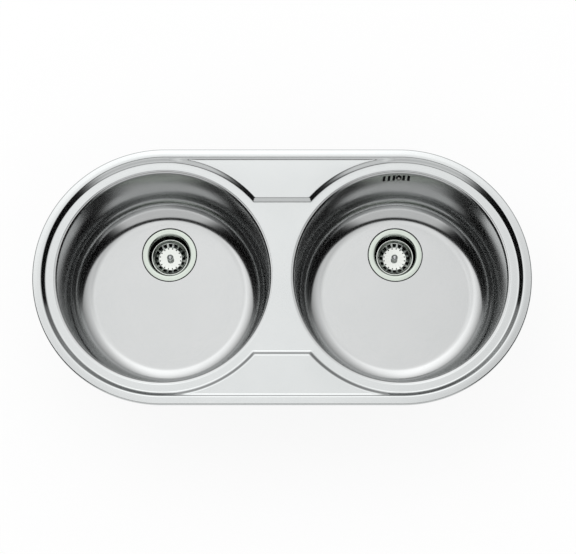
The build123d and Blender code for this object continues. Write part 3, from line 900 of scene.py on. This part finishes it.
# ---- a drawn bowl
@dataclass
class Bowl:
    """A drawn round bowl with a rolled mouth and a seat for its waste."""

    side: str
    x: float
    mouth: float = 184.0
    top: float = -1.9
    lap: float = 7.0
    roll: float = 5.0
    draft: float = 4.0
    floor: float = -161.0
    corner: float = 42.0
    seat_top: float = 48.8
    seat_foot: float = 47.8
    seat_edge: float = 0.8      # width of the soft edge round the seat
    seat: float = -163.6
    floor_rings: tuple[float, ...] = (0.02, 0.1, 0.3, 0.55, 0.8, 0.95)  # from wall to seat
    hole: float = 38.3
    slot_count: int = 7         # places of the overflow slots; the screw takes the middle one
    slot_pitch: float = 8.4
    slot_width: float = 4.4
    slot_tall: float = 27.0
    screw_hole: float = 1.95
    cut: Point = (-200.0, -150.0)       # foot and top of a cutter before it is laid down
    steps: int = 288

    def wall(self) -> list[Point]:
        """Draw the inside profile.

        Returns:
            Radii and heights, from the lap under the deck to the flat floor.
        """
        lean = math.radians(self.draft)
        edge = self.mouth - self.roll * math.tan(math.pi / 4 - lean / 2)
        foot = edge - (self.top - self.floor) * math.tan(lean)
        line = soft_path([(self.mouth + self.lap, self.top, 0), (edge, self.top, self.roll),
                          (foot, self.floor, self.corner), (0.0, self.floor, 0)], step=3)
        return line[:-1]

    def rows(self) -> Rows:
        """Lay rings down the wall, over the floor and into the seat of the waste.

        Returns:
            The rings.
        """
        line = self.wall()
        rows = ring_rows(line, self.steps)
        flat, edge = line[-1][0], self.seat_top + self.seat_edge
        for part in self.floor_rings:
            radius = flat + (edge - flat) * part
            rows += ring_rows([(radius, self.floor)], self.steps, DRAIN_Y * part)
        seat = soft_path([(edge, self.floor, 0), (self.seat_top, self.floor, 0.7),
                          (self.seat_foot, self.seat, 0.7), (self.hole, self.seat, 0)], step=20)
        return rows + ring_rows(seat, self.steps, DRAIN_Y)

    def slots(self, made: Piece) -> None:
        """Cut the overflow slots and the screw's hole in the back wall.

        Args:
            made: the bowl.
        """
        half, side = self.slot_tall / 2, self.slot_width / 2
        slot = soft_path([(x, OVERFLOW_LEVEL + y, side) for x, y in
                          ((-side, -half), (side, -half), (side, half), (-side, half))],
                         closed=True, step=15)
        hole = circle(self.screw_hole, 32, y=OVERFLOW_LEVEL)
        middle = self.slot_count // 2
        for outline, count, skip in ((slot, self.slot_count, middle), (hole, 1, -1)):
            cutter = moved(slab(outline, *self.cut), x=self.x,
                           turn=Matrix.Rotation(math.radians(90), 3, "X"))
            cut_repeated(made, Layout.ROW, to_object("wall_cutter", cutter),
                         BOWL_STEEL[self.side].material(), count, self.slot_pitch * MM,
                         -(count // 2) * self.slot_pitch * MM, skip)

    def build(self) -> None:
        """Make the bowl and dress it."""
        mesh = moved(skin_rows(self.rows()), x=self.x)
        floor = min(mesh.faces, key=lambda f: f.calc_center_median().z)
        if floor.normal.z < 0:
            bmesh.ops.reverse_faces(mesh, faces=mesh.faces)
        made = thickened(mesh, f"{self.side}_bowl_shell")
        if self.side == "right":
            self.slots(made)
        finished(made, BOWL_STEEL[self.side], "sink", f"{self.side}_bowl")


# ---- a basket strainer waste
@dataclass
class Strainer:
    """The fixed flange and well of a waste, and its lift-out basket."""

    side: str
    x: float
    flange: float = 47.0
    flange_top: float = -161.6
    well: float = 36.5
    well_floor: float = -198.0
    collar: float = 19.0
    collar_end: float = -207.0
    sheet: float = 1.0
    arm: float = 4.0
    arm_thick: float = 2.5
    hub: float = 7.5
    bore: float = 3.25
    basket_top: float = -179.5
    basket_throat: float = -186.0
    basket_floor: float = -192.0
    basket_sheet: float = 0.8
    basket_lip: float = 33.0
    basket_mouth: float = 31.0
    basket_waist: float = 28.0
    basket_foot: float = 20.3
    slot_count: int = 16
    slot_reach: Point = (21.3, 27.0)
    rib: float = 1.6            # half width of the bars between the slots
    hole: float = 1.2
    hole_ring: float = 18.6
    ball: float = 6.0           # the knob's ball
    ball_level: float = -183.0
    neck: float = 2.6
    foot: float = 4.2
    stem: float = 3.2
    stem_end: float = -197.7
    plug_radius: float = 22.0
    plug_thick: float = 3.0
    steps: int = 160

    def dress(self, name: str, mesh: Mesh, finish: Finish, node: str,
              body: str = "sink") -> None:
        """Put a mesh on the drain's axis as a dressed piece; name and node leave out the side."""
        made = to_object(f"{self.side}_{name}", moved(mesh, x=self.x, y=DRAIN_Y))
        finished(made, finish, body, f"{self.side}_{node}")

    def body(self) -> None:
        """Flange, drawn well and collar."""
        t = self.sheet
        profile = soft_path([
            (self.flange, self.flange_top, 0.45), (self.well, self.flange_top, 3.0),
            (self.well, self.well_floor, 6.0), (self.collar, self.well_floor, 1.2),
            (self.collar, self.collar_end, 0.2), (self.collar + t, self.collar_end, 0.2),
            (self.collar + t, self.well_floor - t, 0.5),
            (self.well + t, self.well_floor - t, 7.0), (self.well + t, self.flange_top - t, 2.0),
            (self.flange, self.flange_top - t, 0.3)], closed=True, step=9)
        self.dress("waste_flange", lathe(profile, self.steps), WELL_STEEL_PAINTED_SHADE[self.side],
                   "strainer_body")

    def cross(self) -> None:
        """The welded cross in the collar, with the centre screw's hole in its hub."""
        low, high = self.collar_end, self.collar_end + self.arm_thick
        reach, half = self.collar, self.arm / 2
        parts = []
        for turn in range(4):
            arm = slab(soft_path([(self.bore + 1, -half, 0), (reach, -half, 0), (reach, half, 0),
                                  (self.bore + 1, half, 0)], closed=True), low, high)
            parts.append(moved(arm, turn=Matrix.Rotation(turn * math.pi / 2, 3, "Z")))
        parts.append(lathe(soft_path([(self.hub, low, 0.3), (self.hub, high, 0.5),
                                      (self.bore, high, 0.3), (self.bore, low, 0.3)],
                                     closed=True, step=20), 48))
        self.dress("waste_cross", join(parts), WELL_STEEL_PAINTED_SHADE[self.side], "strainer_cross")

    def basket(self) -> None:
        """The pressed basket with its slots and holes."""
        floor, throat, top, t = (self.basket_floor, self.basket_throat, self.basket_top,
                                 self.basket_sheet)
        lip, curl = self.basket_lip, top - 2.2
        profile = soft_path([
            (self.basket_mouth, top, 0.7), (self.basket_waist, throat, 1.6),
            (self.basket_foot, floor, 1.8), (self.stem, floor, 0), (self.stem, floor - t, 0),
            (self.basket_foot - 0.3, floor - t, 2.2), (self.basket_waist + t, throat - t, 2.0),
            (self.basket_mouth + 0.4, curl, 0.5), (lip, curl, 0.7), (lip, top, 1.0)],
            closed=True, step=10)
        made = to_object(f"{self.side}_basket_cup", lathe(profile, self.steps))
        finish = WASTE_STEEL[self.side]
        pitch = math.radians(360 / self.slot_count)
        ends = [(r, pitch / 2 - math.asin(self.rib / r)) for r in self.slot_reach]
        corners = [(r * math.cos(sign * a), r * math.sin(sign * a), 0.7)
                   for sign, order in ((-1, ends), (1, ends[::-1])) for r, a in order]
        slot = slab(soft_path(corners, closed=True), floor - 4, floor + 10)
        hole = slab(circle(self.hole, 16, self.hole_ring), floor - 4, floor + 2)
        for cutter, start in ((slot, 0.0), (hole, pitch / 2)):
            cut_repeated(made, Layout.RING, to_object("basket_cutter", cutter),
                         finish.material(), self.slot_count, pitch, start)
        made.data.transform(Matrix.Translation(Vector((self.x, DRAIN_Y, 0)) * MM))
        finished(made, finish, f"{self.side}_basket_set", f"{self.side}_basket")

    def knob(self) -> None:
        """The turned knob with its neck, foot and stem."""
        floor, centre, step = self.basket_floor, self.ball_level, self.basket_sheet
        turns = [math.radians(a) for a in range(6, 151, 6)]
        line = [(0.0, centre + self.ball)]
        line += [(self.ball * math.sin(a), centre + self.ball * math.cos(a)) for a in turns]
        line += soft_path([(self.neck, centre - 5.4, 0), (self.neck, floor + step, 1.2),
                           (self.foot, floor + step, 0.4), (self.foot, floor, 0.1),
                           (self.stem, floor, 0), (self.stem, self.stem_end, 0.5),
                           (0.0, self.stem_end, 0)], step=15)
        self.dress("turned_knob", lathe(line, 64, closed=False), CHROME, "basket_knob",
                   f"{self.side}_basket_set")

    def plug(self) -> None:
        """The rubber plug, with a soft lip."""
        low, high = self.stem_end, self.stem_end + self.plug_thick
        profile = soft_path([(self.stem, low, 0), (self.plug_radius, low, 0.4),
                             (self.plug_radius, high, 1.0), (15.0, high, 1.0),
                             (14.0, high - 0.5, 0.8), (self.stem, high - 0.5, 0)],
                            closed=True, step=15)
        self.dress("rubber_plug", lathe(profile, 96), RUBBER, "basket_seal",
                   f"{self.side}_basket_set")

    def build(self) -> None:
        """Make the waste's visible pieces and dress them."""
        self.body()
        self.cross()
        self.basket()
        self.knob()
        self.plug()


# ---- overflow
@dataclass
class Overflow:
    """The domed screw in the slots and the ribbed hose behind the bowl."""

    x: float = 200.0
    axis_y: float = 192.5
    top: float = -56.0
    bend: float = 44.5
    drop: float = 87.5
    cuff: float = 20.0
    pitch: float = 4.0
    crest: float = 10.0
    valley: float = 8.8
    wall: float = 1.5
    screw_seat: float = 177.2   # y of the bowl's wall under the screw's head
    head: float = 5.0
    shank: float = 1.7
    shank_end: float = -21.8

    def screw(self) -> None:
        """A domed stainless head with a slot, and its shank."""
        brim, dome, sunk = 0.9, 2.7, 0.2
        turns = [math.radians(a) for a in range(8, 91, 8)]
        line = [(0.0, brim + dome)]
        line += [(self.head * math.sin(a), brim + dome * math.cos(a)) for a in turns]
        line += [(self.head, brim), (self.head, -sunk), (self.shank, -sunk),
                 (self.shank, self.shank_end), (0.0, self.shank_end)]
        head = to_object("overflow_dome", lathe(line, 64, closed=False))
        slot = to_object("slot_cutter", slab([(-7, -0.6), (7, -0.6), (7, 0.6), (-7, 0.6)],
                                             2.0, 6.0))
        cut_repeated(head, Layout.ROW, slot, SCREW_STEEL.material(), 1, 0.0)
        place = Vector((self.x, self.screw_seat, OVERFLOW_LEVEL)) * MM
        outward = Matrix.Rotation(math.radians(90), 4, "X")
        head.data.transform(Matrix.Translation(place) @ outward)
        finished(head, SCREW_STEEL, "sink", "overflow_screw")

    def path(self) -> list[Point]:
        """Draw the hose's centre line.

        Returns:
            Its y and z in mm: down, round the bend and forward.
        """
        foot = self.top - self.drop
        line = [(self.axis_y, self.top), (self.axis_y, self.top - self.drop / 2)]
        for k in range(33):
            turn = math.pi / 2 * k / 32
            line.append((self.axis_y - self.bend * (1 - math.cos(turn)),
                         foot - self.bend * math.sin(turn)))
        return line + [(self.axis_y - self.bend - self.cuff, foot - self.bend)]

    def hose(self) -> None:
        """The ribbed hose, swept along its path by a node tree."""
        line = self.path()
        curve = bpy.data.curves.new("hose_path", "CURVE")
        curve.dimensions = "3D"
        spline = curve.splines.new("POLY")
        spline.points.add(len(line) - 1)
        for point, (y, z) in zip(spline.points, line):
            point.co = (self.x * MM, y * MM, z * MM, 1)
        swept = linked(bpy.data.objects.new("hose_path", curve))
        length = self.drop + self.bend * math.pi / 2 + self.cuff
        ribbed = length - 2 * self.cuff
        add_group(swept, hose_tree(), {
            "Pitch": ribbed / int(ribbed / self.pitch) * MM, "Crest": self.crest * MM,
            "Valley": self.valley * MM, "Cuff": self.cuff * MM, "Length": length * MM,
            "Facets": 48, "Finish": HOSE_WALL.material()})
        graph = bpy.context.evaluated_depsgraph_get()
        data = bpy.data.meshes.new_from_object(swept.evaluated_get(graph))
        drop(swept)
        made = linked(bpy.data.objects.new("ribbed_hose", data))
        modifier(made, "SOLIDIFY", thickness=self.wall * MM, offset=-1.0)
        settle(made, sharp=60)
        finished(made, HOSE_WALL, "sink", "overflow_hose")

    def build(self) -> None:
        """Make the overflow's pieces and dress them."""
        self.screw()
        self.hose()


# ---- what stays as packed
@dataclass
class Fittings:
    """The pieces under the sink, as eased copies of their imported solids."""

    frame: dict

    def build(self) -> None:
        """Make every remaining piece and dress it."""
        dressed = {
            "rim_seal": (FOAM, 0.8), "left_inlet_cap": (POLYPROPYLENE, 0.3),
            # the overflow housing's near-black colour is painted shade for the dark inside the
            # slots
            "overflow_elbow": (HOUSING_PAINTED_SHADE, 0.4), "hose_upper_nut": (POLYPROPYLENE, 0.25),
            "hose_lower_nut": (POLYPROPYLENE, 0.25), "overflow_gasket": (RUBBER, 0.0),
            "clip_brackets": (ZINC, 0.25), "clip_screws": (SCREW_STEEL, 0.2)}
        for side, _ in SIDES:
            dressed.update({
                f"{side}_sound_pad": (PAD, 0.5), f"{side}_flange_gasket": (RUBBER, 0.0),
                f"{side}_lower_gasket": (RUBBER, 0.4),
                f"{side}_waste_body": (POLYPROPYLENE, 0.4),
                f"{side}_centre_screw": (SCREW_STEEL, 0.15)})
        for node, (finish, soften) in dressed.items():
            refined(self.frame, node, finish, "sink", soften)
        for number in range(1, 9):
            refined(self.frame, f"clip_claw_{number}", ZINC, f"claw_{number}", 0.2)


# ---- camera, light and floor
@dataclass(frozen=True)
class Studio:
    """The photograph's camera, plain soft light and a plain pale floor.

    Polished metal shows the room: one large soft panel behind the sink, one in front of it,
    and the dark gap between them that the camera looks through.
    """

    elevation: float = 77.4
    distance: float = 3.24
    lens: float = 120.4
    target: Triple = (0.010, -0.002, 0.0)
    floor_level: float = -0.2525
    floor_size: float = 8.0
    floor_glow: float = 0.85    # share of plain white in what the camera sees of the floor
    fill: float = 0.93          # what dull surfaces get from all round
    back: float = 1.75          # brightness of the panel behind the sink, at its middle
    back_top: float = 1.20      # the same overhead, where flat faces mirror it
    back_low: float = 0.5       # the same near the horizon
    back_rise: Point = (0.05, 0.9)      # from and to which Z of a direction it rises
    back_over: Point = (0.9, 0.978)     # where it falls again overhead
    back_fade: float = 0.6      # share of it lost towards its two ends
    back_right: float = 0.68    # share of it left on the right
    back_turn: Point = (-0.05, 0.4)     # from and to which X that share falls
    front: float = 0.75         # brightness of the panel in front
    front_end: float = 0.8      # where it ends, as a sideways share of a level direction
    front_fade: float = 0.25
    low: float = 1.0            # brightness of the front panel's lower part
    low_rise: Point = (0.35, 0.6)
    horizon: float = 0.45       # share of it left at the horizon
    horizon_rise: Point = (0.2, 0.4)
    gap: float = 0.01
    gap_lean: float = -0.04     # how far the gap lies in front of the camera
    gap_top: float = 0.12       # half width of the gap overhead
    gap_side: float = 0.75      # how much wider it gets towards the two ends
    gap_bend: float = 5.0       # how suddenly it does
    soft: float = 0.04          # how softly the panels end
    meet: float = 0.1           # how softly one panel gives way to the other
    deep_after: float = 2.5     # mirrorings in a bowl after which all is evened out
    deep: float = 0.8           # brightness of both panels from there on
    deep_side: float = 0.05     # the same for what leaves the bowl sideways
    deep_reach: Point = (0.05, 0.75)
    lamp_size: float = 1.6
    lamp_power: float = 9.0
    lamp_place: Triple = (-0.5, 0.6, 2.2)

    def camera(self) -> None:
        """Set the camera at the photograph's viewing angle."""
        data = bpy.data.cameras.new("photo_camera")
        data.lens = self.lens
        data.sensor_width = 36.0
        data.clip_end = 50.0
        made = linked(bpy.data.objects.new("photo_camera", data))
        turn = math.radians(self.elevation)
        offset = Vector((0.0, -math.cos(turn), math.sin(turn))) * self.distance
        made.location = Vector(self.target) + offset
        made.rotation_euler = (-offset).to_track_quat("-Z", "Y").to_euler()
        bpy.context.scene.camera = made

    def panels(self, tree: Tree) -> Node:
        """Set the brightness of the two panels and the gap, by direction.

        Args:
            tree: the world's node tree.

        Returns:
            The node with the brightness.
        """
        add = partial(add_node, tree)
        soft = {"interpolation_type": "SMOOTHSTEP"}
        way = add("ShaderNodeTexCoord").outputs["Generated"]
        x, _, z = add(AXES, (way,)).outputs
        side = add(MATH, (x,), operation="ABSOLUTE")
        turn = math.radians(self.elevation)
        behind = Vector((0.0, math.sin(turn), math.cos(turn)))
        past = add("ShaderNodeVectorMath", (way, behind), operation="DOT_PRODUCT")
        past = add(MATH, (past, self.gap_lean), operation="SUBTRACT")
        wider = add(MATH, (side, self.gap_bend), operation="POWER")
        half = add(MATH, (wider, self.gap_side, self.gap_top), operation="MULTIPLY_ADD")
        apart = add(MATH, (past,), operation="ABSOLUTE")
        away = add(MATH, (apart, half), operation="SUBTRACT")
        lit = add(RANGE, (away, -self.soft, self.soft, self.gap, 1.0), **soft)

        level = add(RANGE, (z, *self.low_rise, self.low, self.front), **soft)
        steep = add(MATH, (z, 2.0), operation="POWER")
        flat = add(MATH, (1.0, steep), operation="SUBTRACT")
        flat = add(MATH, (flat,), operation="SQRT")
        flat = add(MATH, (flat, 0.01), operation="MAXIMUM")
        aside = add(MATH, (side, flat), operation="DIVIDE")
        ends = add(RANGE, (aside, self.front_end - self.front_fade, self.front_end, 1.0,
                           self.gap), **soft)
        dim = add(RANGE, (z, *self.horizon_rise, self.horizon, 1.0), **soft)
        front = add(MATH, (level, ends), operation="MULTIPLY")
        front = add(MATH, (front, dim), operation="MULTIPLY")

        rise = add(RANGE, (z, *self.back_rise, self.back_low, self.back), **soft)
        over = add(RANGE, (z, *self.back_over, 0.0, self.back_top - self.back), **soft)
        level = add(MATH, (rise, over), operation="ADD")
        ends = add(MATH, (side, -self.back_fade, 1.0), operation="MULTIPLY_ADD")
        right = add(RANGE, (x, *self.back_turn, 1.0, self.back_right), **soft)
        back = add(MATH, (level, ends), operation="MULTIPLY")
        back = add(MATH, (back, right), operation="MULTIPLY")
        share = add(RANGE, (past, -self.meet, self.meet), **soft)
        both = add(MIX, {"Factor": share, "A": front, "B": back})
        return add(MATH, (both, lit), operation="MULTIPLY")

    def world(self) -> None:
        """White to the eye, even for dull surfaces, and soft panels for polished metal."""
        made = bpy.data.worlds.new("studio")
        bpy.context.scene.world = made
        tree = blank_tree(made)
        add = partial(add_node, tree)
        light = add("ShaderNodeLightPath").outputs
        often = add(MATH, (light["Glossy Depth"], self.deep_after), operation="GREATER_THAN")
        x = add(AXES, (add("ShaderNodeTexCoord").outputs["Generated"],)).outputs["X"]
        side = add(MATH, (x,), operation="ABSOLUTE")
        deep = add(RANGE, (side, *self.deep_reach, self.deep, self.deep_side),
                   interpolation_type="SMOOTHSTEP")
        level = add(MIX, {"Factor": often, "A": self.panels(tree), "B": deep})
        level = add(MIX, {"Factor": light["Is Glossy Ray"], "A": self.fill, "B": level})
        level = add(MIX, {"Factor": light["Is Camera Ray"], "A": level, "B": 1.0})
        back = add("ShaderNodeBackground", {"Color": (1, 1, 1, 1), "Strength": level})
        add("ShaderNodeOutputWorld", {"Surface": back})

    def lamp(self) -> None:
        """One large soft lamp overhead, for the shadow's shape."""
        data = bpy.data.lights.new("overhead", "AREA")
        data.shape = "DISK"
        data.size = self.lamp_size
        data.energy = self.lamp_power
        made = linked(bpy.data.objects.new("overhead", data))
        made.location = self.lamp_place
        made.rotation_euler = (-Vector(self.lamp_place)).to_track_quat("-Z", "Y").to_euler()
        made.visible_glossy = False

    def floor(self) -> None:
        """A plain white floor that the outlets just clear."""
        mesh = bmesh.new()
        half = self.floor_size / 2
        corners = [(-half, -half), (half, -half), (half, half), (-half, half)]
        mesh.faces.new([mesh.verts.new((x, y, self.floor_level)) for x, y in corners])
        made = to_object("studio_floor", mesh)
        paint = bpy.data.materials.new("white_studio_floor")
        tree = blank_tree(paint)
        add = partial(add_node, tree)
        light = add("ShaderNodeLightPath").outputs
        seen = add(MATH, (light["Is Camera Ray"], light["Is Glossy Ray"]), operation="MAXIMUM")
        share = add(MATH, (seen, self.floor_glow), operation="MULTIPLY")
        matt = add("ShaderNodeBsdfDiffuse", {"Color": linear("fbfbfb")})
        white = add("ShaderNodeEmission", {"Color": (1, 1, 1, 1), "Strength": 1.0})
        both = add("ShaderNodeMixShader", (share, matt, white))
        add("ShaderNodeOutputMaterial", {"Surface": both})
        made.data.materials.append(paint)

    def build(self) -> None:
        """Make the whole studio."""
        bpy.context.scene.view_settings.view_transform = "Standard"
        self.camera()
        self.world()
        self.lamp()
        self.floor()


def main() -> None:
    """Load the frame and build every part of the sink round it."""
    logging.basicConfig(level=logging.INFO, format="%(name)s: %(message)s")
    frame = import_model()
    Studio().build()
    Deck().build()
    for side, x in SIDES:
        Bowl(side, x).build()
        Strainer(side, x).build()
    Overflow().build()
    Fittings(frame).build()


if __name__ == "__main__":
    main()
